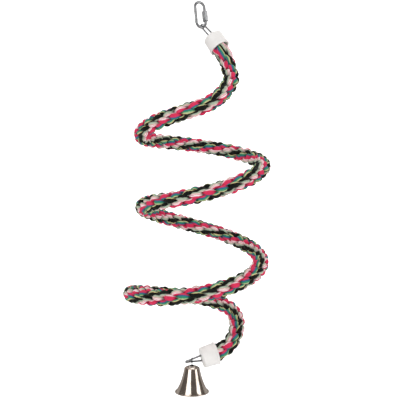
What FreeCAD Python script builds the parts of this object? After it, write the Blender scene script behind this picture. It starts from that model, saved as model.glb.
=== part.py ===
"""Hanging spiral bird perch: a braided rope on a steel core wire, with a quick link and a bell.

The origin is the highest point inside the quick link's upper bow, where the hook carries it.
+Z is up, -Y is the front, +X is to the right seen from the front. All sizes are in millimetres.
The rope and its core are cut into six lengths at the sides of the coil, where the coil twists
as it stretches.
"""
import FreeCAD, Part
import math
import os

from FreeCAD import Vector

# Quick link: an oval of round wire, closed by a hexagonal sleeve nut on its right leg.
link_length = 37.0
link_width = 17.5
link_wire = 3.5
link_lean = 5.5            # degrees, foot of the link to the right
link_turn = -30.0          # degrees, right leg towards the back
link_gap = 5.0             # opening that the nut bridges
link_round = 0.9999        # of its half width, that each bow is rounded by
nut_length = 12.8
nut_flats = 7.2
nut_foot = 1.7             # free leg below the nut
nut_hold = 2.0             # length of the lower stub inside the nut
nut_clearance = 0.06
nut_bevel = 0.5
nut_bevel_over = 0.1       # that the bevelling cutter passes beyond the corners

# Wire eyes: a U of round wire whose legs are crimped onto the core inside each cap.
eye_wire = 2.4
eye_spacing = 8.0          # between the centres of the two legs
eye_neck = 1.5             # straight leg outside the cap before it bends
eye_bend = 4.0
eye_round = 0.98           # of its half width, that the round end is rounded by
eye_hang_gap = 0.35        # between the link's wire and the inside of the top eye
top_eye_knee = 2.0         # straight leg from the round end, before the eye bends to the cap
bottom_eye_turn = 25.0     # degrees, the legs about the cap's axis where they leave the cap
bottom_tip_turn = 62.0     # degrees, the round end about the cap's axis
bottom_eye_reach = 20.2    # from the cap's end to the middle of the eye's round end

# Caps: tapered plastic cups with a round closed edge and a lip at the mouth.
cap_length = 20.5
cap_end_diameter = 26.0
cap_mouth_diameter = 27.4
cap_lip_diameter = 28.6
cap_lip_length = 2.4
cap_end_wall = 2.5
cap_edge_radius = 2.6
cap_lip_bevel = 0.6
cap_flare_diameter = 24.6
cap_flare_length = 5.0
cap_cut_over = 1.0         # that a leg's cutter passes beyond the end wall

# Ferrules: steel sleeves that crimp the eye's legs to the core.
ferrule_diameter = 12.6
ferrule_length = 13.0
ferrule_leg_depth = 6.5
ferrule_core_depth = 5.5

# Rope and core.
rope_diameter = 20.0
core_diameter = 4.0
cut_gap = 0.3              # between two lengths of rope at a side of the coil

# The perch's points are chosen for a link whose foot is here, and move with the foot.
hang_point = Vector(3.043, 0, -31.604)
# Top cap: the middle of its closed end, and the way that its mouth faces.
top_cap_end = Vector(16.9, 2.0, -43.0)
top_cap_way = Vector(0.522, -0.23, -0.82)
top_lead = 11.4            # straight rope beyond the mouth, up to the route's first turn
# Bottom cap: the middle of its mouth, and the way that its closed end faces.
bottom_cap_mouth = Vector(22.2, -40.6, -453.5)
bottom_cap_way = Vector(-0.945, -0.2, -0.255)
bottom_lead = 12.4         # straight rope before the mouth, from the route's last turn
bottom_eye_way = Vector(-0.956, -0.23, -0.18)

# Route of the rope between the caps.
lead_in = [(39.9, -12.5, -91.5), (42.0, -26.5, -107.0), (33.5, -42.5, -122.5),
           (18.5, -54.5, -138.5), (-3.0, -63.0, -148.0)]
lead_out = [(-0.2, 81.0, -402.5), (27.0, 68.0, -407.0), (45.5, 44.0, -412.5),
            (52.0, 14.5, -423.5), (47.5, -16.0, -436.0)]
# The coil at each quarter turn, from front to back: its radius, its centre in x and its height.
coil_quarters = [(69.0, -7.0, -151.5), (77.5, -2.0, -175.0), (80.5, 1.5, -181.0),
                 (84.5, 3.0, -213.0), (80.0, 3.0, -254.0), (80.5, 3.0, -270.5),
                 (82.0, 2.0, -300.5), (83.0, 1.0, -339.0), (90.0, -1.0, -374.0),
                 (90.0, -3.5, -384.5), (74.0, -5.5, -401.0)]
coil_centre_y = 6.0
coil_step = 30.0           # degrees between two points of a turn
coil_start = 105.0         # degrees from the right side, clockwise seen from above
coil_points = 30
coil_cuts = 5
points_per_half_turn = 6
arc_share = 0.45           # of the shorter run beside it, that each arc takes up
shortest_run = 1e-4        # between two arcs, that is still drawn

# Bell and clapper.
bell_x = -9.05
bell_height = 32.4
bell_crown_diameter = 18.8
bell_waist_diameter = 24.2
bell_flare_diameter = 32.4
bell_rim_diameter = 42.6
bell_wall = 1.0
bell_rim_roll = 1.1        # radius of the rolled rim
bell_crown_rise = 2.4      # of the domed top above the corner of the crown
bell_crown_flat = 8.0      # diameter of the flat middle of the dome
bell_crown_bulge = 0.4
bell_waist_share = 0.417   # of the height, from the crown down to the waist
bell_flare_share = 0.759   # of the height, from the crown down to the flare
bell_inner_waist_lag = 0.01    # of the height, that the inner waist lies below the outer one
bell_inner_flare_lag = 0.03    # of the height, that the inner flare lies below the outer one
bell_rim_low = 0.35        # height of the rim's widest point
hanger_wire = 1.0
loop_round = 0.96          # of its half width, that a loop's end is rounded by
hanger_half_width = 2.3
hanger_drop = 8.2          # from the eye's leg down to the bell's crown
hanger_gap = 0.35          # between the eye's leg and the inside of the hanger
stem_above = 0.6           # of the hanger's stem above the collar
stem_below = 0.5           # of the hanger's stem below the collar
collar_diameter = 4.4
collar_neck_diameter = 2.4
collar_flange = 0.9
hook_drop = 4.6            # from the crown's underside to the bottom of the hanger's lower loop
clapper_loop_half = 1.5
clapper_length = 19.0      # from its pivot to the middle of the ball
clapper_ball_diameter = 7.0
clapper_gap = 0.3
clapper_neck = 1.6         # from the hanger's wire down to the foot of the clapper's loop

# How far inside its corner the middle of a rounded edge lies, as a share of its radius.
round_middle = 1 - math.cos(math.radians(45))


def unit(way):
    """The same direction with a length of one."""
    return Vector(way) / way.Length


def point_between(a, b, share):
    """The point that lies the given share of the way from a to b."""
    return a + (b - a) * share


def smooth(values, place):
    """A smooth curve through evenly spaced values, read at a place counted in steps."""
    last = len(values) - 1
    i = min(int(place), last - 1)
    t = place - i
    before, here, there = values[max(i - 1, 0)], values[i], values[i + 1]
    after = values[min(i + 2, last)]
    start_slope = (there - before) / 2
    end_slope = (after - here) / 2
    return (here * (2 * t**3 - 3 * t**2 + 1) + start_slope * (t**3 - 2 * t**2 + t)
            + there * (3 * t**2 - 2 * t**3) + end_slope * (t**3 - t**2))


def coil_route():
    """The points of the coil's turns, worked out from its quarter turns."""
    radii, centres, heights = zip(*coil_quarters)
    points = []
    for i in range(coil_points):
        angle = coil_start + coil_step * i
        quarter = angle / 90 - 1
        radius = smooth(radii, quarter)
        a = math.radians(angle)
        points.append(Vector(smooth(centres, quarter) + radius * math.cos(a),
                             coil_centre_y - radius * math.sin(a),
                             smooth(heights, quarter)))
    return points


def rope_route():
    """All the points of the rope's route, from the floor of one cap to the floor of the other."""
    inward = unit(top_cap_way)
    outward = unit(bottom_cap_way)
    top = [top_cap_end + inward * d for d in (cap_end_wall, cap_length + top_lead)]
    bottom = [bottom_cap_mouth + outward * d for d in (-bottom_lead, cap_length - cap_end_wall)]
    return [hang(p) for p in top + lead_in + coil_route() + lead_out + bottom]


def hang(point):
    """A point of the perch, where it hangs from the link's foot."""
    return Vector(point) + link_point(0, leg_foot - bow_radius) - hang_point


def turn_at(before, here, after):
    """The angle, in radians, by which a route turns at a point."""
    return (here - before).getAngle(after - here)


def cord_radii(points):
    """The bend radius at each inner point, from the shorter run beside it."""
    radii = [0.0]
    for before, here, after in zip(points, points[1:], points[2:]):
        run = min((here - before).Length, (after - here).Length)
        radii.append(arc_share * run / math.tan(turn_at(before, here, after) / 2))
    return radii + [0.0]


def rounded_path(points, radii):
    """Straight runs joined by tangent arcs of the given radii, as one wire."""
    edges = []
    reached = points[0]
    for i in range(1, len(points) - 1):
        here = points[i]
        back = unit(points[i - 1] - here)
        ahead = unit(points[i + 1] - here)
        half_turn = turn_at(points[i - 1], here, points[i + 1]) / 2
        trim = radii[i] * math.tan(half_turn)
        depth = radii[i] / math.cos(half_turn) - radii[i]
        start = here + back * trim
        end = here + ahead * trim
        middle = here + unit(back + ahead) * depth
        if (start - reached).Length > shortest_run:
            edges.append(Part.LineSegment(reached, start).toShape())
        edges.append(Part.Arc(start, middle, end).toShape())
        reached = end
    edges.append(Part.LineSegment(reached, points[-1]).toShape())
    return Part.Wire(edges)


def tube(points, radii, diameter):
    """A solid round bar along a rounded path."""
    path = rounded_path(points, radii)
    way = points[1] - points[0]
    section = Part.Wire(Part.makeCircle(diameter / 2, points[0], way))
    return path.makePipeShell([section], True, False)


def bar(start, end, diameter):
    """A straight round bar between two points."""
    return Part.makeCylinder(diameter / 2, (end - start).Length, start, end - start)


def revolved(outline, base, way):
    """A solid of revolution: outline edges in (radius, height), height along the given way."""
    face = Part.Face(Part.Wire(outline))
    solid = face.revolve(Vector(0, 0, 0), Vector(0, 0, 1), 360)
    solid.Placement = FreeCAD.Placement(base, FreeCAD.Rotation(Vector(0, 0, 1), way))
    return solid


def polygon(corners):
    """Closed straight edges through (radius, height) corners."""
    points = [Vector(r, 0, z) for r, z in corners]
    return [Part.LineSegment(a, b).toShape() for a, b in zip(points, points[1:] + points[:1])]


def save(shape, name):
    """Write one node's solids."""
    shape.exportStep("parts/%s.step" % name)


# Quick link -------------------------------------------------------------------------------

bow_radius = (link_width - link_wire) / 2
leg_length = link_length - link_width
bow_top = -(bow_radius - link_wire / 2)      # height of the upper bow's centre
leg_foot = bow_top - leg_length


def link_rotation():
    """The link's turn about the upright, after its lean."""
    turn = FreeCAD.Rotation(Vector(0, 0, 1), -link_turn)
    return FreeCAD.Rotation(Vector(0, 1, 0), -link_lean).multiply(turn)


def lean(shape):
    """Turn a shape of the upright link about the hook's place to where it hangs."""
    turned = shape.copy()
    turned.Placement = FreeCAD.Placement(Vector(), link_rotation()).multiply(shape.Placement)
    return turned


def link_point(x, z):
    """A point of the upright link, where it hangs."""
    return link_rotation().multVec(Vector(x, 0, z))


def quick_link_body():
    """The bent wire, with its right leg left open under the nut."""
    stub_top = leg_foot + nut_foot + nut_hold
    upper = stub_top + link_gap
    top = bow_top + bow_radius
    foot = leg_foot - bow_radius
    side = bow_radius
    corners = [Vector(side, 0, upper), Vector(side, 0, top), Vector(-side, 0, top),
               Vector(-side, 0, foot), Vector(side, 0, foot), Vector(side, 0, stub_top)]
    return lean(tube(corners, [0.0] + [bow_radius * link_round] * 4 + [0.0], link_wire))


def quick_link_nut():
    """The hexagonal sleeve, bevelled at both ends, on the right leg."""
    foot = leg_foot + nut_foot
    corner_radius = nut_flats / math.sqrt(3)
    corners = [Vector(bow_radius + corner_radius * math.cos(math.radians(60 * i)),
                      corner_radius * math.sin(math.radians(60 * i)), foot) for i in range(7)]
    sleeve = Part.Face(Part.makePolygon(corners)).extrude(Vector(0, 0, nut_length))
    waist = corner_radius - nut_bevel
    reach = corner_radius + nut_bevel_over
    rise = nut_bevel + nut_bevel_over
    bevel = polygon([(0, 0), (waist, 0), (reach, rise), (reach, nut_length - rise),
                     (waist, nut_length), (0, nut_length)])
    sleeve = sleeve.common(revolved(bevel, Vector(bow_radius, 0, foot), Vector(0, 0, 1)))
    bore = Part.makeCylinder(link_wire / 2 + nut_clearance, nut_length, Vector(bow_radius, 0, foot))
    return lean(sleeve.cut(bore))


# Caps, eyes and ferrules --------------------------------------------------------------------


def square_to(way, other):
    """The direction nearest to another that is square to a way."""
    return unit(other - way * other.dot(way))


def eye_legs(width):
    """The sideways places of an eye's two legs."""
    return [width * (eye_spacing / 2 * side) for side in (1, -1)]


def cap(end, way, width):
    """A cap from the middle of its closed end, its mouth facing along the way."""
    r_end = cap_end_diameter / 2
    r_mouth = cap_mouth_diameter / 2
    r_lip = cap_lip_diameter / 2
    r_bore = rope_diameter / 2
    lip = cap_length - cap_lip_length
    edge = cap_edge_radius
    bevel = cap_lip_bevel
    middle = edge * round_middle
    corner = Part.Arc(Vector(r_end - edge, 0, 0), Vector(r_end - middle, 0, middle),
                      Vector(r_end, 0, edge)).toShape()
    points = [Vector(r, 0, z) for r, z in [
        (r_end, edge), (r_mouth, lip - bevel), (r_lip, lip), (r_lip, cap_length - bevel),
        (r_lip - bevel, cap_length), (cap_flare_diameter / 2, cap_length),
        (r_bore, cap_length - cap_flare_length), (r_bore, cap_end_wall), (0, cap_end_wall),
        (0, 0), (r_end - edge, 0)]]
    outline = [corner] + [Part.LineSegment(a, b).toShape() for a, b in zip(points, points[1:])]
    cup = revolved(outline, end, way)
    for side in eye_legs(width):
        hole = bar(end + side - way * cap_cut_over,
                   end + side + way * (cap_end_wall + cap_cut_over), eye_wire)
        cup = cup.cut(hole)
    return cup


def ferrule(end, way, width):
    """The sleeve on the cap's floor, bored for the eye's legs and for the core."""
    floor = end + way * cap_end_wall
    far = floor + way * ferrule_length
    sleeve = bar(floor, far, ferrule_diameter)
    for side in eye_legs(width):
        sleeve = sleeve.cut(bar(floor + side, floor + side + way * ferrule_leg_depth, eye_wire))
    return sleeve.cut(bar(far - way * ferrule_core_depth, far, core_diameter))


def eye(end, way, width, bow_centre, ahead, bow_width, knee):
    """The U of wire: both legs from the ferrule, bent towards its round end.

    The round end points ahead from its centre. Its legs run straight back to the knee, and
    from there to the cap.
    """
    depth = cap_end_wall + ferrule_leg_depth
    tip = bow_centre + ahead * (eye_spacing / 2)
    bow = eye_spacing / 2 * eye_round
    sides = []
    for leg, bow_side in zip(eye_legs(width), eye_legs(bow_width)):
        sides.append([end + way * depth + leg, end - way * eye_neck + leg,
                      bow_centre - ahead * knee + bow_side, tip + bow_side])
    bends = [0.0, eye_bend, eye_bend, bow]
    return tube(sides[0] + sides[1][::-1], bends + bends[::-1], eye_wire)


def hung_centre(foot, ahead):
    """The centre of a round end that hangs over the link's wire at its foot."""
    above = Vector(0, 0, eye_wire / 2 + link_wire / 2 + eye_hang_gap)
    return foot + above - ahead * (eye_spacing / 2)


# Rope and core ------------------------------------------------------------------------------


def rope_lengths():
    """The route's points and radii for each length of rope, cut at the sides of the coil."""
    points = rope_route()
    radii = cord_radii(points)
    first = 2 + len(lead_in) + int((180 - coil_start) // coil_step)
    cuts = [first + points_per_half_turn * i for i in range(coil_cuts)]
    lengths = []
    start = 0
    opening = None
    for cut in cuts:
        middle = point_between(points[cut], points[cut + 1], 0.5)
        along = unit(points[cut + 1] - points[cut])
        closing = middle - along * (cut_gap / 2)
        run = ([opening] if opening else []) + points[start:cut + 1] + [closing]
        lengths.append((run, [0.0] * bool(opening) + radii[start:cut + 1] + [0.0]))
        opening = middle + along * (cut_gap / 2)
        start = cut + 1
    lengths.append(([opening] + points[start:], [0.0] + radii[start:]))
    return lengths


def make_rope():
    """Every length of rope, hollow for its core, and every length of core."""
    ropes = []
    cores = []
    for points, radii in rope_lengths():
        core = tube(points, radii, core_diameter)
        ropes.append(tube(points, radii, rope_diameter).cut(core))
        cores.append(core)
        check_tube(points, radii, ropes[-1].Volume + core.Volume)
    return ropes, cores


def check_tube(points, radii, volume):
    """Print the bend radii, and the volume against the section times the length."""
    length = rounded_path(points, radii).Length
    expected = math.pi * rope_diameter ** 2 / 4 * length
    bends = [round(r) for r in radii if r]
    print("rope length %.1f, volume ratio %.4f, bend radii %s" % (length, volume / expected, bends))


# Bell ---------------------------------------------------------------------------------------


def bell_shell(crown):
    """The flared shell: a straight-sided crown, a waist and a curved flare with a rolled rim."""
    r_crown, r_waist, r_flare, r_rim = [d / 2 for d in (
        bell_crown_diameter, bell_waist_diameter, bell_flare_diameter, bell_rim_diameter)]
    h, t, rise, bulge = bell_height, bell_wall, bell_crown_rise, bell_crown_bulge
    r_flat = bell_crown_flat / 2
    lip = r_rim - bell_rim_roll
    low = rise + t / 2
    outer = Part.BSplineCurve()
    outer.interpolate([Vector(r_crown, 0, -rise), Vector(r_waist, 0, -bell_waist_share * h),
                       Vector(r_flare, 0, -bell_flare_share * h),
                       Vector(lip, 0, bell_rim_roll - h)])
    inner = Part.BSplineCurve()
    inner.interpolate([Vector(lip - t, 0, -h),
                       Vector(r_flare - t, 0, -(bell_flare_share + bell_inner_flare_lag) * h),
                       Vector(r_waist - t, 0, -(bell_waist_share + bell_inner_waist_lag) * h),
                       Vector(r_crown - t, 0, -low)])
    hole = collar_neck_diameter / 2
    roll = Part.Arc(Vector(lip, 0, bell_rim_roll - h), Vector(r_rim, 0, bell_rim_low - h),
                    Vector(lip, 0, -h))
    shoulder_in = Part.Arc(Vector(r_crown - t, 0, -low),
                           Vector((r_crown - t + r_flat) / 2, 0, bulge - (low + t) / 2),
                           Vector(r_flat, 0, -t))
    shoulder_out = Part.Arc(Vector(r_flat, 0, 0),
                            Vector((r_crown + r_flat) / 2, 0, bulge - rise / 2),
                            Vector(r_crown, 0, -rise))
    flat = [((lip, -h), (lip - t, -h)), ((r_flat, -t), (hole, -t)), ((hole, -t), (hole, 0)),
            ((hole, 0), (r_flat, 0))]
    lines = [Part.LineSegment(Vector(a[0], 0, a[1]), Vector(b[0], 0, b[1])).toShape()
             for a, b in flat]
    edges = [outer.toShape(), roll.toShape(), lines[0], inner.toShape(), shoulder_in.toShape(),
             lines[1], lines[2], lines[3], shoulder_out.toShape()]
    return revolved(Part.__sortEdges__(edges), crown, Vector(0, 0, 1))


def bell_collar(crown):
    """The eyelet that clamps the crown, with a flange above and below it."""
    r_out, r_neck, r_bore = collar_diameter / 2, collar_neck_diameter / 2, hanger_wire / 2
    low = -bell_wall - collar_flange
    outline = polygon([(r_bore, low), (r_out, low), (r_out, -bell_wall), (r_neck, -bell_wall),
                       (r_neck, 0), (r_out, 0), (r_out, collar_flange), (r_bore, collar_flange)])
    return revolved(outline, crown, Vector(0, 0, 1))


def wire_loop(centre, across, half_width, half_height, diameter):
    """A closed oval of wire that stands upright, as wide as given along the across way."""
    up = Vector(0, 0, half_height)
    side = across * half_width
    points = [centre - up, centre - up + side, centre + up + side, centre + up - side,
              centre - up - side, centre - up]
    bend = half_width * loop_round
    return tube(points, [0.0, bend, bend, bend, bend, 0.0], diameter)


def bell_hanger(leg, crown):
    """The thin wire: a loop over the eye's leg, a stem through the crown, and a hook loop."""
    across = Vector(0, 1, 0)
    top = leg.z + eye_wire / 2 + hanger_gap + hanger_wire / 2
    foot = crown.z + collar_flange + stem_above
    half = (top - foot) / 2
    upper = wire_loop(Vector(crown.x, crown.y, foot + half), across, hanger_half_width, half,
                      hanger_wire)
    low = crown.z - bell_wall - hook_drop
    high = crown.z - bell_wall - collar_flange - stem_below
    lower = wire_loop(Vector(crown.x, crown.y, (low + high) / 2), across, clapper_loop_half,
                      (high - low) / 2, hanger_wire)
    stem = bar(Vector(crown.x, crown.y, high), Vector(crown.x, crown.y, foot), hanger_wire)
    return upper.fuse([stem, lower]).removeSplitter()


def clapper_wire(pivot):
    """The clapper's own loop around the hook loop, and its rod down into the ball."""
    across = Vector(1, 0, 0)
    top = pivot.z + hanger_wire + clapper_gap
    foot = pivot.z - hanger_wire - clapper_neck
    half = (top - foot) / 2
    loop = wire_loop(Vector(pivot.x, pivot.y, foot + half), across, clapper_loop_half, half,
                     hanger_wire)
    rod = bar(Vector(pivot.x, pivot.y, foot), Vector(pivot.x, pivot.y, pivot.z - clapper_length),
              hanger_wire)
    return loop.fuse(rod).removeSplitter()


def clapper_ball(pivot, wire):
    """The steel ball on the end of the rod."""
    centre = pivot - Vector(0, 0, clapper_length)
    return Part.makeSphere(clapper_ball_diameter / 2, centre).cut(wire)


def main():
    """Build and save every node."""
    os.makedirs("parts", exist_ok=True)
    save(quick_link_body(), "quick_link_body")
    save(quick_link_nut(), "quick_link_nut")

    way = unit(top_cap_way)
    top_end = hang(top_cap_end)
    link_foot = hang(hang_point)
    across = link_rotation().multVec(Vector(0, 1, 0))
    width = square_to(way, across)
    save(cap(top_end, way, width), "top_cap")
    top_ferrule = ferrule(top_end, way, width)
    save(top_ferrule, "top_ferrule")
    ahead = square_to(across, link_foot - top_end + way * eye_neck)
    bow_centre = hung_centre(link_foot, ahead)
    save(eye(top_end, way, width, bow_centre, ahead, across, top_eye_knee), "top_eye")

    into = unit(bottom_cap_way) * -1
    cap_end = hang(bottom_cap_mouth) - into * cap_length
    low_width, tip_width = [
        FreeCAD.Rotation(into, turn).multVec(square_to(into, Vector(0, 0, 1)))
        for turn in (bottom_eye_turn, bottom_tip_turn)]
    save(cap(cap_end, into, low_width), "bottom_cap")
    bottom_ferrule = ferrule(cap_end, into, low_width)
    save(bottom_ferrule, "bottom_ferrule")
    tip_centre = cap_end + unit(bottom_eye_way) * (bottom_eye_reach - eye_spacing / 2)
    neck = cap_end - into * eye_neck
    tip_width = square_to(unit(tip_centre - neck), tip_width)
    save(eye(cap_end, into, low_width, tip_centre, unit(tip_centre - neck), tip_width, 0),
         "bottom_eye")

    ropes, cores = make_rope()
    for i, end, toward in ((0, top_end, way), (-1, cap_end, into)):
        floor = end + toward * cap_end_wall
        pocket = bar(floor - toward, floor + toward * ferrule_length, ferrule_diameter)
        ropes[i] = ropes[i].cut(pocket)
        stop = floor + toward * (ferrule_length - ferrule_core_depth)
        cores[i] = cores[i].cut(bar(floor - toward, stop, ferrule_diameter))
    for i, (rope, core) in enumerate(zip(ropes, cores), start=1):
        save(rope, "rope_%d" % i)
        save(core, "core_%d" % i)

    start, near = min(zip((neck + side for side in eye_legs(low_width)),
                          (tip_centre + side for side in eye_legs(tip_width))),
                      key=lambda run: run[1].y)
    along = unit(near - start)
    bell_place = hang(Vector(bell_x, 0, 0)).x
    leg = near + along * ((bell_place - near.x) / along.x)
    crown = Vector(leg.x, leg.y, leg.z - hanger_drop)
    save(bell_shell(crown), "bell_shell")
    save(bell_collar(crown), "bell_collar")
    save(bell_hanger(leg, crown), "bell_hanger")
    pivot = Vector(crown.x, crown.y, crown.z - bell_wall - hook_drop)
    wire = clapper_wire(pivot)
    save(wire, "clapper_wire")
    save(clapper_ball(pivot, wire), "clapper_ball")
    for name, place in (("link foot", link_foot), ("eye leg", leg), ("eye leg way", along),
                        ("crown", crown), ("clapper pivot", pivot)):
        print("%s: %.3f %.3f %.3f" % (name, place.x, place.y, place.z))


main()
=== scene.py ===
import math

import bpy
import numpy as np
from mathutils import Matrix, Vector


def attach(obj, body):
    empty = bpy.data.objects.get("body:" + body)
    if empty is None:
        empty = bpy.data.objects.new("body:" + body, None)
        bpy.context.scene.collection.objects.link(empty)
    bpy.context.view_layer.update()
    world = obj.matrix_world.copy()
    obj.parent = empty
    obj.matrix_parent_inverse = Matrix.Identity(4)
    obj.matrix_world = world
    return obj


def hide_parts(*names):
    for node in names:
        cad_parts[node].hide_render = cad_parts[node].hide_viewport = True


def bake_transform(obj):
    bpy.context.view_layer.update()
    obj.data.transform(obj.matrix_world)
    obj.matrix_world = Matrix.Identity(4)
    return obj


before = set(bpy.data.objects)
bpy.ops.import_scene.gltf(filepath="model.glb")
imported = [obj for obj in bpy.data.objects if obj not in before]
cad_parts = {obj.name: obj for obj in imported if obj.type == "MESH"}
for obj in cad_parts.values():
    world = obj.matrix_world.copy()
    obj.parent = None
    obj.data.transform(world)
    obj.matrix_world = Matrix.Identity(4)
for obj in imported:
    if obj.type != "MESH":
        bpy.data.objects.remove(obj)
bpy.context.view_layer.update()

# ---------------------------------------------------------------- sizes, in metres
ROPE = 0.020
CUT_LENGTHS = 6
COIL_CENTRE_Y = 0.006
COIL_STEP = 30.0
COIL_START = 105.0
COIL_POINTS = 30
COIL = [(0.0690, -0.0070, -0.1515), (0.0775, -0.0020, -0.1750), (0.0805, 0.0015, -0.1810),
        (0.0845, 0.0030, -0.2130), (0.0800, 0.0030, -0.2540), (0.0805, 0.0030, -0.2705),
        (0.0820, 0.0020, -0.3005), (0.0830, 0.0010, -0.3390), (0.0900, -0.0010, -0.3740),
        (0.0900, -0.0035, -0.3845), (0.0740, -0.0055, -0.4010)]
LEAD_IN = [(0.0399, -0.0125, -0.0915), (0.0420, -0.0265, -0.1070), (0.0335, -0.0425, -0.1225),
           (0.0185, -0.0545, -0.1385), (-0.0030, -0.0630, -0.1480)]
LEAD_OUT = [(-0.0002, 0.0810, -0.4025), (0.0270, 0.0680, -0.4070), (0.0455, 0.0440, -0.4125),
            (0.0520, 0.0145, -0.4235), (0.0475, -0.0160, -0.4360)]
TOP_END = Vector((0.0169, 0.0020, -0.0430))
TOP_WAY = Vector((0.522, -0.23, -0.82)).normalized()
LOW_MOUTH = Vector((0.0222, -0.0406, -0.4535))
LOW_WAY = Vector((-0.945, -0.2, -0.255)).normalized()
CAP = 0.0205
CAP_WALL = 0.0025
TOP_LEAD = 0.0114
LOW_LEAD = 0.0124
LEAD_POINTS = 2          # of the route, before LEAD_IN
HALF_TURN_POINTS = 6     # of the route, in half a turn of the coil
ROUTE_ORDER = 3          # of the spline through the route
ROUTE_FINENESS = 24      # points of the spline for each of the route's

# The braid: eight strands, four each way round, each over one and under one.
STRANDS = 8
EACH_WAY = 4
PITCH = 0.0155           # along the rope, from one bump to the next of the same row
OVER = 0.0064            # radius of a strand's centre where it lies on top
CROWN = 0.0018           # that the middle of a bump stands above its shoulders
UNDER = 0.0036           # radius where a strand dives under its neighbour
WIDE = 0.0041            # half of a strand's width on the middle of a bump
NARROW = 0.0026          # and where it dives
THICK = 0.0026           # half of its thickness
SQUARE = 0.86            # of a strand's section: 1 is an ellipse, and less is fuller
STAIR = 0.74             # how much a strand turns in steps: 0 is steady, and 1 is all at once
DIVE_SHARP = 4           # how suddenly a strand dives at the end of a bump
STATION = 0.0012         # along the rope, between two rings of a strand's mesh
AROUND = 22              # points in a ring
SWELL = 0.0014           # that the strands bulge by where they come out of a cap
SWELL_PAST = 0.003       # from the cap's mouth to the middle of that bulge
SWELL_LONG = 0.006       # from the middle of that bulge to where it is mostly gone
LOOSE = 0.020            # of rope beyond the top cap, where the strands still lie straighter
LOOSE_PAST = 0.004       # from the cap's mouth to where that stretch starts
LOOSE_RATE = 0.35        # of the full turning, at its start
LOOSE_EASE = 1.5         # how late in that stretch the turning picks up
PHASE_START = 0.4        # radians

# Slow drifts along the rope: the first strand's seed, the length of a wave and the size.
SWAY = (60, 0.05, 0.05)          # of a strand's place round the rope, in radians
RISE = (40, 0.03, 0.0002)        # of its distance from the middle
GIRTH = (90, 0.02, 0.03)         # of its width and thickness, as a share
TINT_SHARED = (7, 0.42, 0.10)    # of where the colours start, for all strands alike
TINT_OWN = (8, 0.21, 0.03)       # and for each strand by itself

# The colours: a cycle of yarns round each strand, which starts further on in each bump.
BANDS = 3                # of the colour cycle, side by side round the rope
BAND_PITCH = 0.0750      # along the rope, from one band to the next
BAND_START = -0.08       # of the cycle
COLOUR_STEP = 0.95       # how suddenly the colour moves on between two bumps
YARNS = 22               # round a strand
PLY_SCALE = 100          # of the place along a strand, for its yarns' twist
PLY_SHIFT = 3.7          # of that place, from one strand to the next
YARN_COLOURS = [
    (0.00, "#C3CFBB"), (0.050, "#DDA79E"), (0.085, "#FBF4F0"), (0.115, "#EC9CAB"),
    (0.155, "#FFFFFF"), (0.195, "#E56F8B"), (0.230, "#E0345C"), (0.425, "#85487A"),
    (0.460, "#2E6A8C"), (0.510, "#38906E"), (0.585, "#A3BE90"), (0.635, "#E6DA9C"),
    (0.665, "#4A2418"), (0.690, "#0A0F09"), (0.905, "#1F1A15"), (0.935, "#A5B49F")]


# ---------------------------------------------------------------- route
def smooth(values, place):
    """A smooth curve through evenly spaced values, read at a place counted in steps."""
    last = len(values) - 1
    i = min(int(place), last - 1)
    t = place - i
    before, here, there = values[max(i - 1, 0)], values[i], values[i + 1]
    after = values[min(i + 2, last)]
    a, b = (there - before) / 2, (after - here) / 2
    return (here * (2 * t**3 - 3 * t**2 + 1) + a * (t**3 - 2 * t**2 + t)
            + there * (3 * t**2 - 2 * t**3) + b * (t**3 - t**2))


def route_points():
    radii, centres, heights = zip(*COIL)
    coil = []
    for i in range(COIL_POINTS):
        angle = COIL_START + COIL_STEP * i
        q, a = angle / 90 - 1, math.radians(angle)
        r = smooth(radii, q)
        coil.append(Vector((smooth(centres, q) + r * math.cos(a),
                            COIL_CENTRE_Y - r * math.sin(a), smooth(heights, q))))
    top = [TOP_END + TOP_WAY * CAP_WALL, TOP_END + TOP_WAY * (CAP + TOP_LEAD)]
    low = [LOW_MOUTH - LOW_WAY * LOW_LEAD, LOW_MOUTH + LOW_WAY * (CAP - CAP_WALL)]
    return (top + [Vector(p) for p in LEAD_IN] + coil + [Vector(p) for p in LEAD_OUT] + low)


def rope_line(points):
    """The points of the smooth spline through the route, as Blender evaluates it."""
    curve = bpy.data.curves.new("route", "CURVE")
    curve.dimensions = "3D"
    spline = curve.splines.new("NURBS")
    spline.points.add(len(points) - 1)
    for p, co in zip(spline.points, points):
        p.co = (*co, 1.0)
    spline.order_u = ROUTE_ORDER
    spline.use_endpoint_u = True
    spline.resolution_u = ROUTE_FINENESS
    holder = bpy.data.objects.new("route", curve)
    mesh = bpy.data.meshes.new_from_object(holder)
    line = np.array([v.co for v in mesh.vertices], float)
    bpy.data.meshes.remove(mesh)
    bpy.data.objects.remove(holder)
    return line


def spaced(line, step):
    """The line again with even steps, and how far along it each point is."""
    along = np.concatenate([[0], np.cumsum(np.linalg.norm(np.diff(line, axis=0), axis=1))])
    at = np.linspace(0, along[-1], int(round(along[-1] / step)) + 1)
    return np.stack([np.interp(at, along, line[:, k]) for k in range(3)], axis=1), at


def unit_rows(v):
    """Each row at a length of one."""
    return v / np.linalg.norm(v, axis=1)[:, None]


def steady_frame(line):
    """Two directions square to the line at each point, which don't turn about it."""
    tangent = unit_rows(np.gradient(line, axis=0))
    side = np.cross(tangent[0], (0.0, 0.0, 1.0))
    side /= np.linalg.norm(side)
    sides = [side]
    for t in tangent[1:]:
        side = side - t * (side @ t)
        side /= np.linalg.norm(side)
        sides.append(side)
    sides = np.array(sides)
    return tangent, sides, np.cross(tangent, sides)


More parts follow.
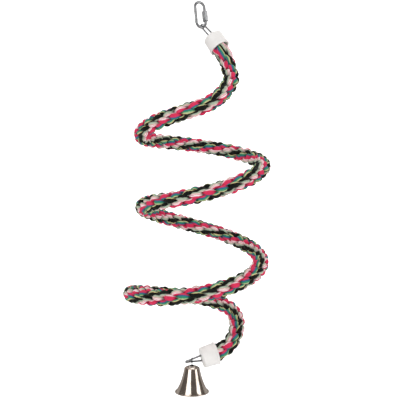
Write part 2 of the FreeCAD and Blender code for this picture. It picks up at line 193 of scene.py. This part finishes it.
# ---------------------------------------------------------------- braid
def wander(at, drift, k=0):
    """A slow, smooth, seeded drift along the rope: a sum of four waves of rising length."""
    seed, wave, size = drift
    rng = np.random.default_rng(seed + k)
    out = np.zeros_like(at)
    for i in range(1, 5):
        out += np.sin(2 * np.pi * at / (wave * (0.6 + 0.5 * i)) + rng.uniform(0, 2 * np.pi))
    return out * size / 2


def strand_way(k):
    """Which way round the rope a strand runs."""
    return 1 if k < EACH_WAY else -1


def stepped(cycle, share):
    """How far a steady turning is ahead of one that goes in steps."""
    return 2 * np.arctan2(share * np.sin(cycle), 1 + share * np.cos(cycle))


def strand_line(k, at, line, sides, ups, phase):
    """A strand's centre points, the ways out of the rope, how far it dives, and its colour."""
    way = strand_way(k)
    turn = way * phase + (k % EACH_WAY) * math.pi / 2
    cycle = EACH_WAY * turn
    if way < 0:
        cycle = cycle + math.pi
    angle = turn - stepped(cycle, STAIR) / EACH_WAY + wander(at, SWAY, k)
    dive = (1 - np.cos(cycle)) / 2
    radius = (OVER - (OVER - UNDER) * dive ** DIVE_SHARP
              + CROWN * np.cos(cycle).clip(0) + wander(at, RISE, k))
    for mouth in (CAP - CAP_WALL + SWELL_PAST, at[-1] - (CAP - CAP_WALL + SWELL_PAST)):
        radius = radius + SWELL * np.exp(-((at - mouth) / SWELL_LONG) ** 2)
    out = np.cos(angle)[:, None] * sides + np.sin(angle)[:, None] * ups
    # The colours run in bands round the rope, and each bump keeps the one at its middle.
    step = stepped(cycle, COLOUR_STEP)
    band = (BANDS * (step / EACH_WAY - turn) / (2 * math.pi)
            - (at - way * step * PITCH / (2 * math.pi)) / BAND_PITCH)
    return line + out * radius[:, None], out, dive, band


def make_rope_piece(name, lo, hi, at, line, sides, ups, phase):
    """The part of the braid between two stations, as one mesh of eight strands."""
    span = slice(lo, hi + 1)
    n = hi - lo + 1
    ring = np.linspace(0, 2 * np.pi, AROUND, endpoint=False)
    c, s = np.cos(ring), np.sin(ring)
    flat = np.sign(c) * np.abs(c) ** SQUARE
    tall = np.sign(s) * np.abs(s) ** SQUARE
    verts, faces, yarn = [], [], []
    for k in range(STRANDS):
        centre, out, dive, band = strand_line(k, at, line, sides, ups, phase)
        along = unit_rows(np.gradient(centre, axis=0))
        out = unit_rows(out - along * (out * along).sum(1)[:, None])
        wide = np.cross(along, out)
        centre, out, wide, dive = centre[span], out[span], wide[span], dive[span]
        drift = (wander(at, TINT_SHARED) + wander(at, TINT_OWN, k) + band)[span] + BAND_START
        half = NARROW + (WIDE - NARROW) * (1 - dive)
        swell = 1 + wander(at, GIRTH, k)[span]
        pts = (centre[:, None, :]
               + wide[:, None, :] * (flat[None, :, None] * (half * swell)[:, None, None])
               + out[:, None, :] * (tall[None, :, None] * (THICK * swell)[:, None, None]))
        # The strand's outward side shows the part of the cycle that its band and drift give.
        cyc = ring[None, :] - np.pi / 2 + 2 * np.pi * drift[:, None]
        base = k * n * AROUND
        verts.append(pts.reshape(-1, 3))
        ply = at[span] * PLY_SCALE * strand_way(k) + k * PLY_SHIFT
        yarn.append(np.stack([np.cos(cyc), np.sin(cyc), np.repeat(ply[:, None], AROUND, 1)],
                             axis=2).reshape(-1, 3))
        for i in range(n - 1):
            a = base + i * AROUND
            b = a + AROUND
            for j in range(AROUND):
                jn = (j + 1) % AROUND
                faces.append((a + j, a + jn, b + jn, b + j))
    co = np.concatenate(verts)
    mesh = bpy.data.meshes.new(name)
    mesh.from_pydata(co.tolist(), [], faces)
    mesh.update()
    layer = mesh.attributes.new("yarn", "FLOAT_VECTOR", "POINT")
    layer.data.foreach_set("vector", np.concatenate(yarn).astype(np.float32).ravel())
    # The distance from the rope's middle, over its radius, which sets the painted shade in the
    # braid's hollows
    deep = np.linalg.norm(co.reshape(STRANDS, n, AROUND, 3) - line[span][None, :, None, :], axis=3)
    layer = mesh.attributes.new("height", "FLOAT", "POINT")
    layer.data.foreach_set("value", (deep.ravel() / (ROPE / 2)).astype(np.float32))
    layer = mesh.attributes.new("place", "FLOAT_VECTOR", "POINT")
    layer.data.foreach_set("vector", co.astype(np.float32).ravel())
    mesh.shade_smooth()
    obj = bpy.data.objects.new(name, mesh)
    bpy.context.scene.collection.objects.link(obj)
    return obj


# ---------------------------------------------------------------- node helpers
def linear(code):
    """A hex colour in linear light."""
    values = [int(code[i:i + 2], 16) / 255 for i in (1, 3, 5)]
    return tuple(v / 12.92 if v <= 0.04045 else ((v + 0.055) / 1.055) ** 2.4
                 for v in values) + (1.0,)


class Nodes:
    """A short way to write a material's node graph."""

    def __init__(self, name):
        self.mat = bpy.data.materials.new(name)
        self.mat.use_nodes = True
        self.tree = self.mat.node_tree
        self.tree.nodes.clear()
        self.out = self.tree.nodes.new("ShaderNodeOutputMaterial")
        self.bsdf = self.tree.nodes.new("ShaderNodeBsdfPrincipled")
        self.link(self.bsdf.outputs[0], self.out.inputs[0])

    def link(self, a, b):
        self.tree.links.new(a, b)

    def put(self, socket, value):
        if isinstance(value, bpy.types.NodeSocket):
            self.link(value, socket)
        else:
            socket.default_value = value

    def set(self, **values):
        for key, value in values.items():
            self.put(self.bsdf.inputs[key.replace("_", " ")], value)

    def math(self, op, a, b=0.0):
        n = self.tree.nodes.new("ShaderNodeMath")
        n.operation = op
        self.put(n.inputs[0], a)
        self.put(n.inputs[1], b)
        return n.outputs[0]

    def attribute(self, name, output="Vector"):
        n = self.tree.nodes.new("ShaderNodeAttribute")
        n.attribute_name = name
        return n.outputs[output]

    def object_place(self):
        return self.tree.nodes.new("ShaderNodeTexCoord").outputs["Object"]

    def split(self, vector):
        n = self.tree.nodes.new("ShaderNodeSeparateXYZ")
        self.link(vector, n.inputs[0])
        return n.outputs

    def stretch(self, vector, scale):
        n = self.tree.nodes.new("ShaderNodeMapping")
        n.inputs["Scale"].default_value = scale
        self.link(vector, n.inputs["Vector"])
        return n.outputs[0]

    def noise(self, vector, scale, detail=3.0, rough=0.55):
        n = self.tree.nodes.new("ShaderNodeTexNoise")
        self.link(vector, n.inputs["Vector"])
        n.inputs["Scale"].default_value = scale
        n.inputs["Detail"].default_value = detail
        n.inputs["Roughness"].default_value = rough
        return n.outputs["Fac"]

    def cells(self, vector, scale):
        n = self.tree.nodes.new("ShaderNodeTexVoronoi")
        self.link(vector, n.inputs["Vector"])
        n.inputs["Scale"].default_value = scale
        return n.outputs["Color"]

    def ramp(self, value, stops, mode="LINEAR"):
        n = self.tree.nodes.new("ShaderNodeValToRGB")
        n.color_ramp.interpolation = mode
        e = n.color_ramp.elements
        while len(e) < len(stops):
            e.new(0.5)
        for el, (pos, col) in zip(e, stops):
            el.position = pos
            el.color = linear(col) if isinstance(col, str) else (col, col, col, 1)
        self.put(n.inputs[0], value)
        return n.outputs[0]

    def mix(self, fac, a, b, mode="MIX"):
        n = self.tree.nodes.new("ShaderNodeMix")
        n.data_type = "RGBA"
        n.blend_type = mode
        self.put(n.inputs["Factor"], fac)
        self.put(n.inputs[6], a)
        self.put(n.inputs[7], b)
        return n.outputs[2]

    def between(self, value, lo, hi):
        n = self.tree.nodes.new("ShaderNodeMapRange")
        self.put(n.inputs["Value"], value)
        n.inputs["To Min"].default_value = lo
        n.inputs["To Max"].default_value = hi
        return n.outputs[0]

    def bump(self, height, strength, distance):
        n = self.tree.nodes.new("ShaderNodeBump")
        n.inputs["Strength"].default_value = strength
        n.inputs["Distance"].default_value = distance
        self.put(n.inputs["Height"], height)
        return n.outputs[0]


# ---------------------------------------------------------------- materials
EDGE_TINT = (0.35, 0.34, 0.33, 1.0)      # a metal's own dullness at its outline


# Cotton. A scale is in waves to the metre, and a shade is a share of the yarn's own colour.
EDGE_SCALE, EDGE_WAVER = 260, 0.035      # of the edge between two yarns, in shares of the cycle
FUZZ_SCALE, FUZZ_SHADE = 2600, 0.14
PATCH_SCALE, PATCH_SHADE = 90, 0.10
# The ply's turns and slant, and a painted shade that follows its twisted ridges
PLY_TURNS, PLY_SLANT, PLY_PAINTED_SHADE = 42.0, 5.0, 0.035
# Painted shade in the grooves between two yarns, and a painted highlight on the middle of one
PAINTED_GROOVE_SHADE, PAINTED_YARN_HIGHLIGHT = 0.78, 1.08    # between two yarns, and on the middle of one
LINT_SCALE, LINT = 700, 0.06
# Painted shade in the braid's hollows, as a share of the colour
HOLLOW_PAINTED_SHADE = [(0.52, 0.10), (0.70, 0.34), (0.86, 0.85), (0.93, 1.0)]   # by height over the radius


def cotton():
    """Braiding cotton: parallel yarns of several colours, each plied and slightly fuzzy."""
    m = Nodes("rope_cotton")
    yarn = m.attribute("yarn")
    x, y, t = m.split(yarn)
    place = m.attribute("place")
    cycle = m.math("DIVIDE", m.math("ARCTAN2", y, x), 2 * math.pi)
    waver = m.between(m.noise(place, EDGE_SCALE, 2), -EDGE_WAVER, EDGE_WAVER)
    cycle = m.math("FRACT", m.math("ADD", m.math("ADD", cycle, 1.0), waver))
    colour = m.ramp(cycle, YARN_COLOURS, "CONSTANT")
    lane = m.math("MULTIPLY", cycle, YARNS)
    groove = m.math("ABSOLUTE", m.math("SINE", m.math("MULTIPLY", lane, math.pi)))
    twist = m.math("ADD", m.math("MULTIPLY", t, PLY_TURNS), m.math("MULTIPLY", lane, PLY_SLANT))
    ply = m.math("SINE", twist)
    fuzz = m.noise(place, FUZZ_SCALE, 3, 0.65)
    patch = m.between(m.noise(place, PATCH_SCALE, 2), -PATCH_SHADE, PATCH_SHADE)
    # Random fuzz and patches of tone, and a painted shade along the ply's twist
    shade = m.math("ADD", m.between(fuzz, -FUZZ_SHADE, FUZZ_SHADE),
                   m.math("ADD", m.math("MULTIPLY", ply, PLY_PAINTED_SHADE), patch))
    # Painted shade in the grooves between yarns, and a painted highlight on each yarn's middle
    shade = m.math("ADD", shade, m.between(m.math("POWER", groove, 0.6),
                                           PAINTED_GROOVE_SHADE, PAINTED_YARN_HIGHLIGHT))
    n = m.tree.nodes.new("ShaderNodeCombineColor")
    for i in range(3):
        m.link(shade, n.inputs[i])
    colour = m.mix(1.0, colour, n.outputs[0], "MULTIPLY")
    # Painted shade, dark in the braid's hollows: the height is the distance from the middle, over
    # the radius.
    painted_hollow_shade = m.ramp(m.attribute("height", "Fac"), HOLLOW_PAINTED_SHADE)
    colour = m.mix(1.0, colour, painted_hollow_shade, "MULTIPLY")
    lint = m.ramp(m.noise(place, LINT_SCALE, 4, 0.7), [(0.56, 0.0), (0.74, 1.0)])
    colour = m.mix(m.math("MULTIPLY", lint, LINT), colour, linear("#D8CFC6"))
    height = m.math("ADD", m.math("MULTIPLY", groove, 0.8), m.math("MULTIPLY", ply, 0.22))
    height = m.math("ADD", height, m.math("MULTIPLY", fuzz, 0.5))
    m.set(Base_Color=colour, Roughness=0.9, Sheen_Weight=0.06, Sheen_Roughness=0.5,
          Normal=m.bump(height, 0.55, 0.0005))
    m.bsdf.inputs["Specular IOR Level"].default_value = 0.18
    return m.mat


def plastic():
    """Milky vinyl cap: waxy, faintly mottled, fine moulding grain."""
    m = Nodes("cap_plastic")
    p = m.object_place()
    cloud = m.noise(p, 60, 3)
    colour = m.ramp(cloud, [(0.35, "#E8E6E4"), (0.5, "#EFEDEB"), (0.68, "#F6F4F2")])
    grain = m.noise(p, 1900, 2)
    scuff = m.noise(m.stretch(p, (1, 1, 0.25)), 420, 4, 0.7)
    height = m.math("ADD", m.math("MULTIPLY", grain, 0.5), scuff)
    m.set(Base_Color=colour, Roughness=m.between(scuff, 0.30, 0.50),
          Subsurface_Weight=0.15, Subsurface_Scale=0.006,
          Normal=m.bump(height, 0.10, 0.0002))
    m.bsdf.inputs["Subsurface Radius"].default_value = (1.0, 1.0, 1.0)
    m.bsdf.inputs["Specular IOR Level"].default_value = 0.45
    return m.mat


GRAIN_FINER = 14         # than the patches, of a metal's grain
SPANGLE_FINER = 6


def metal(name, dark, light, rough, scale, bumps, lengthwise=(1, 1, 1)):
    """Plated or drawn metal with a fine grain, dull patches and light scratches."""
    m = Nodes(name)
    p = m.object_place()
    patch = m.noise(p, scale, 4, 0.6)
    colour = m.ramp(patch, [(0.30, dark), (0.70, light)])
    grain = m.noise(m.stretch(p, lengthwise), scale * GRAIN_FINER, 3, 0.6)
    spangle = m.cells(p, scale * SPANGLE_FINER)
    dull = m.between(m.math("MULTIPLY", m.math("ADD", patch, grain), 0.5), *rough)
    height = m.math("ADD", m.math("MULTIPLY", grain, 0.7), m.math("MULTIPLY", spangle, 0.3))
    m.set(Base_Color=colour, Metallic=1.0, Roughness=dull,
          Normal=m.bump(height, bumps, 0.0002))
    m.bsdf.inputs["Specular Tint"].default_value = EDGE_TINT
    return m.mat


def nickel():
    """Polished bell plating over spun metal: faint turning rings, a little warmth."""
    m = Nodes("bell_nickel")
    p = m.object_place()
    ring = m.math("SINE", m.math("MULTIPLY", m.split(p)[2], 5200.0))
    haze = m.noise(p, 110, 3)
    colour = m.ramp(haze, [(0.3, "#B5A89D"), (0.7, "#CFC5BC")])
    height = m.math("ADD", m.math("MULTIPLY", ring, 0.25), m.noise(p, 240, 3))
    m.set(Base_Color=colour, Metallic=1.0, Roughness=m.between(haze, 0.09, 0.17),
          Normal=m.bump(height, 0.08, 0.00025))
    m.bsdf.inputs["Specular Tint"].default_value = EDGE_TINT
    return m.mat


# ---------------------------------------------------------------- rope
def braid_phase(at):
    """How far round the strands have turned at each station, in radians."""
    past = np.clip((at - (CAP - CAP_WALL) - LOOSE_PAST) / LOOSE, 0, 1)
    rate = LOOSE_RATE + (1 - LOOSE_RATE) * past ** LOOSE_EASE
    turned = np.concatenate([[0], np.cumsum((rate[1:] + rate[:-1]) / 2 * np.diff(at))])
    return turned / PITCH * math.pi / 2 + PHASE_START


def nearest_station(point):
    """The station of the rope's line that is nearest to a point."""
    return int(np.linalg.norm(line - np.array(point), axis=1).argmin())


ROUTE = route_points()
line, at = spaced(rope_line(ROUTE), STATION)
tangent, sides, ups = steady_frame(line)
phase = braid_phase(at)
rope_material = cotton()

# One piece for each of the five joints, which ends half way to the next, and one at each end.
BODIES = ["perch_top", "turn_2", "turn_3", "turn_4", "turn_5", "perch_end"]
first = LEAD_POINTS + len(LEAD_IN) + int((180 - COIL_START) // COIL_STEP)
corners = [first + HALF_TURN_POINTS * i for i in range(len(BODIES) - 1)]
joints = [nearest_station((ROUTE[c] + ROUTE[c + 1]) / 2) for c in corners]
half = [(a + b) // 2 for a, b in zip(joints, joints[1:])]
half_before = joints[0] - (half[0] - joints[0])
half_after = joints[-1] + (joints[-1] - half[-1])
ends = [0, half_before] + half + [half_after, len(at) - 1]

for i, (lo, hi) in enumerate(zip(ends, ends[1:])):
    name = "braid_%d" % (i + 1)
    piece = make_rope_piece(name, lo, hi, at, line, sides, ups, phase)
    piece.data.materials.append(rope_material)
    if i == 0:
        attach(piece, "perch_top")
        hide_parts("rope_1")
    elif i == len(joints) + 1:
        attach(piece, "perch_end")
        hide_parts("rope_6")
    else:
        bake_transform(piece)
        if i < len(joints):
            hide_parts("rope_%d" % (i + 1))

# ---------------------------------------------------------------- CAD nodes' finishes
def finish_nodes(material, *names):
    """Gives a material to CAD nodes, in place of what they have."""
    for name in names:
        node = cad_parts[name]
        node.data.materials.clear()
        node.data.materials.append(material)


finish_nodes(metal("zinc_plating", "#6F7072", "#A6A7A9", (0.26, 0.42), 160, 0.35),
             "quick_link_body", "quick_link_nut")
finish_nodes(metal("eye_wire", "#7A7B7D", "#B4B5B8", (0.24, 0.40), 210, 0.30, (1, 1, 0.3)),
             "top_eye", "bottom_eye")
finish_nodes(metal("thin_wire", "#26272A", "#4A4B4E", (0.24, 0.40), 210, 0.30, (1, 1, 0.3)),
             "bell_hanger", "clapper_wire")
finish_nodes(metal("crimp_steel", "#5E5F61", "#8E8F90", (0.35, 0.55), 140, 0.4), "top_ferrule",
             "bottom_ferrule", *["core_%d" % (i + 1) for i in range(CUT_LENGTHS)])
finish_nodes(metal("collar_steel", "#2E2B29", "#5B5652", (0.25, 0.45), 240, 0.3), "bell_collar")
finish_nodes(nickel(), "bell_shell")
finish_nodes(metal("clapper_steel", "#6C6A67", "#9B9995", (0.22, 0.36), 180, 0.25),
             "clapper_ball")
finish_nodes(plastic(), "top_cap", "bottom_cap")


# ---------------------------------------------------------------- floor, lights and camera
def stage_surface():
    """A pale seamless sheet: a floor that curves up into a wall behind."""
    front, back, wide, tall, bend, floor = -3.0, 1.6, 4.0, 3.4, 0.8, -0.80
    steps = 12           # of the curve between floor and wall
    profile = [(front, floor), (back - bend, floor)]
    for k in range(1, steps + 1):
        a = math.pi / 2 * k / steps
        profile.append((back - bend + bend * math.sin(a), floor + bend - bend * math.cos(a)))
    profile.append((back, tall))
    verts = [(x, y, z) for y, z in profile for x in (-wide, wide)]
    faces = [(2 * k, 2 * k + 1, 2 * k + 3, 2 * k + 2) for k in range(len(profile) - 1)]
    mesh = bpy.data.meshes.new("studio")
    mesh.from_pydata(verts, [], faces)
    mesh.update()
    mesh.shade_smooth()
    obj = bpy.data.objects.new("studio", mesh)
    bpy.context.scene.collection.objects.link(obj)
    m = Nodes("studio_paper")
    seen = m.tree.nodes.new("ShaderNodeLightPath").outputs["Is Camera Ray"]
    m.set(Base_Color=(0.8, 0.8, 0.8, 1), Roughness=0.9, Emission_Color=(1, 1, 1, 1),
          Emission_Strength=m.between(seen, 0.25, 0.85))
    obj.data.materials.append(m.mat)


stage_surface()


def area_light(name, place, target, wide, tall, power):
    """A white rectangular lamp that faces its target."""
    data = bpy.data.lights.new(name, "AREA")
    data.energy = power
    data.shape = "RECTANGLE"
    data.size = wide
    data.size_y = tall
    obj = bpy.data.objects.new(name, data)
    obj.location = place
    obj.rotation_euler = (Vector(target) - Vector(place)).to_track_quat("-Z", "Y").to_euler()
    bpy.context.scene.collection.objects.link(obj)


MID = (0.0, 0.0, -0.25)
LOW = (0.0, -0.05, -0.47)
area_light("key", (-0.80, -1.27, 0.25), MID, 1.1, 1.6, 15)
area_light("fill", (1.22, -0.68, -0.05), MID, 0.75, 1.5, 9)
area_light("top", (0.0, 0.1, 1.2), MID, 1.2, 1.2, 8)
area_light("behind", (0.0, 0.95, 1.05), LOW, 1.5, 1.2, 7)

# The room: pale where the camera looks, and warm and dim in what the metal mirrors.
ROOM_TINT = (1.0, 0.93, 0.87, 1)
ROOM_STRENGTH = 0.17
world = bpy.data.worlds.new("studio_air")
world.use_nodes = True
air = world.node_tree
air.nodes.clear()
pale = air.nodes.new("ShaderNodeBackground")
pale.inputs["Color"].default_value = (1, 1, 1, 1)
dim = air.nodes.new("ShaderNodeBackground")
dim.inputs["Color"].default_value = ROOM_TINT
dim.inputs["Strength"].default_value = ROOM_STRENGTH
either = air.nodes.new("ShaderNodeMixShader")
air.links.new(air.nodes.new("ShaderNodeLightPath").outputs["Is Camera Ray"], either.inputs[0])
air.links.new(dim.outputs[0], either.inputs[1])
air.links.new(pale.outputs[0], either.inputs[2])
air.links.new(either.outputs[0], air.nodes.new("ShaderNodeOutputWorld").inputs[0])
bpy.context.scene.world = world

# A level camera in front, aimed at the middle of the perch's height.
CAMERA_AT = (0.00093, -0.837, -0.2605)
LENS, SENSOR = 56.8, 36.0        # in mm
view = bpy.data.cameras.new("camera")
view.lens = LENS
view.sensor_width = SENSOR
view.clip_start = 0.01
view.clip_end = 50.0
camera = bpy.data.objects.new("camera", view)
camera.location = CAMERA_AT
camera.rotation_euler = (math.pi / 2, 0.0, 0.0)
bpy.context.scene.collection.objects.link(camera)
bpy.context.scene.camera = camera
bpy.context.scene.view_settings.view_transform = "Standard"
